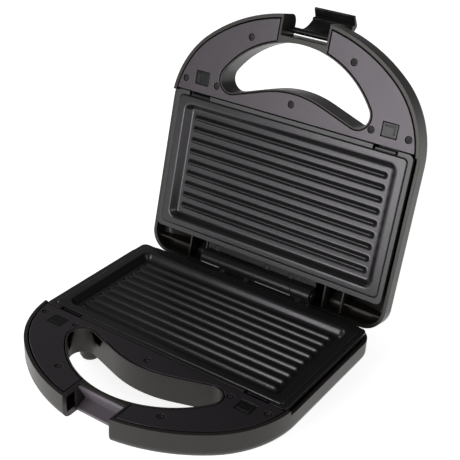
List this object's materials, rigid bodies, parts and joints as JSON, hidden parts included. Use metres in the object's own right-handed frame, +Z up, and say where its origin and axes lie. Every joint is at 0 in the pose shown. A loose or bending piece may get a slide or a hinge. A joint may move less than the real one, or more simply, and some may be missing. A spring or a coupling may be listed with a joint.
{
  "type": "panini press",
  "caption": "Folding panini press with ribbed non-stick plates in a base and an open lid, a hand opening in each handle and a swing-over latch clip.",
  "frame": {"origin": "on the table under the middle of the open press's bounding box", "axes": "+X to the right seen from the handle side, +Y from the handle to the hinge, +Z up"},
  "size_m": [0.2268, 0.3113, 0.2481],
  "materials": {
    "housing": "satin dark grey moulded plastic",
    "deck": "satin dark grey plastic with a purple cast",
    "ring": "matte near-black plastic",
    "nonstick": "dark satin non-stick coating on cast aluminium",
    "steel": "drawn steel",
    "sheet": "bright sheet",
    "ceramic": "cream heat-resistant moulding",
    "screw": "dark plated screws",
    "black": "black moulded plastic with a soft shine",
    "rubber": "black rubber",
    "red_lens": "red lens",
    "green_lens": "green lens"
  },
  "bodies": {
    "base": {"base_shell": "housing", "base_deck": "deck", "base_plate_frame": "ring", "base_heater": "steel", "base_heat_reflector": "sheet", "base_thermostat": "ceramic", "base_deck_screws": "screw", "base_frame_screws": "screw", "base_hinge_leaf": "black", "base_hinge_screws": "screw", "latch_catch": "deck", "base_feet": "rubber", "hinge_pin": "steel", "cord_gland": "black", "base_terminal_block": "ceramic", "base_thermal_fuse": "ceramic"},
    "lid": {"lid_shell": "housing", "lid_deck": "deck", "lid_plate_frame": "ring", "lid_heater": "steel", "lid_heat_reflector": "sheet", "lid_thermostat": "ceramic", "lid_deck_screws": "screw", "lid_frame_screws": "screw", "lid_hinge_leaf": "black", "lid_hinge_screws": "screw", "latch_pin": "steel", "lid_lamp_power": "red_lens", "lid_lamp_ready": "green_lens"},
    "latch": {"latch_clip": "black"},
    "base_plate": {"base_plate": "nonstick"},
    "lid_plate": {"lid_plate": "nonstick"},
    "base_button_right": {"base_button_right": "black"},
    "base_tongue_right": {"base_tongue_right": "black"},
    "base_button_left": {"base_button_left": "black"},
    "base_tongue_left": {"base_tongue_left": "black"},
    "lid_button_right": {"lid_button_right": "black"},
    "lid_tongue_right": {"lid_tongue_right": "black"},
    "lid_button_left": {"lid_button_left": "black"},
    "lid_tongue_left": {"lid_tongue_left": "black"}
  },
  "joints": [
    {"name": "lid_hinge", "type": "hinge", "parent": "base", "child": "lid", "pos_m": [0, 0.0551, 0.0435], "axis": [1, 0, 0], "range_deg": [0, 103]},
    {"name": "latch_pivot", "type": "hinge", "parent": "lid", "child": "latch", "pos_m": [0, 0.11683, 0.23307], "axis": [1, 0, 0], "range_deg": [0, 164]},
    {"name": "base_plate_lift", "type": "slide", "parent": "base", "child": "base_plate", "axis": [0, 0, 1], "range_m": [0, 0.0025]},
    {"name": "lid_plate_lift", "type": "slide", "parent": "lid", "child": "lid_plate", "axis": [0, -0.9744, 0.225], "range_m": [0, 0.0025]},
    {"name": "base_button_right_press", "type": "slide", "parent": "base", "child": "base_button_right", "axis": [0, 0, -1], "range_m": [0, 0.0025], "stiffness_N_per_m": 400, "springref_m": -0.001},
    {"name": "base_tongue_right_slide", "type": "slide", "parent": "base", "child": "base_tongue_right", "axis": [0, -1, 0], "range_m": [0, 0.0016]},
    {"name": "base_button_left_press", "type": "slide", "parent": "base", "child": "base_button_left", "axis": [0, 0, -1], "range_m": [0, 0.0025], "stiffness_N_per_m": 400, "springref_m": -0.001},
    {"name": "base_tongue_left_slide", "type": "slide", "parent": "base", "child": "base_tongue_left", "axis": [0, -1, 0], "range_m": [0, 0.0016]},
    {"name": "lid_button_right_press", "type": "slide", "parent": "lid", "child": "lid_button_right", "axis": [0, 0.9744, -0.225], "range_m": [0, 0.0025], "stiffness_N_per_m": 400, "springref_m": -0.001},
    {"name": "lid_tongue_right_slide", "type": "slide", "parent": "lid", "child": "lid_tongue_right", "axis": [0, 0.225, 0.9744], "range_m": [0, 0.0016]},
    {"name": "lid_button_left_press", "type": "slide", "parent": "lid", "child": "lid_button_left", "axis": [0, 0.9744, -0.225], "range_m": [0, 0.0025], "stiffness_N_per_m": 400, "springref_m": -0.001},
    {"name": "lid_tongue_left_slide", "type": "slide", "parent": "lid", "child": "lid_tongue_left", "axis": [0, 0.225, 0.9744], "range_m": [0, 0.0016]}
  ],
  "couplings": [
    {"joint": "base_tongue_right_slide", "follows": "base_button_right_press", "ratio": 0.6},
    {"joint": "base_tongue_left_slide", "follows": "base_button_left_press", "ratio": 0.6},
    {"joint": "lid_tongue_right_slide", "follows": "lid_button_right_press", "ratio": 0.6},
    {"joint": "lid_tongue_left_slide", "follows": "lid_button_left_press", "ratio": 0.6}
  ]
}
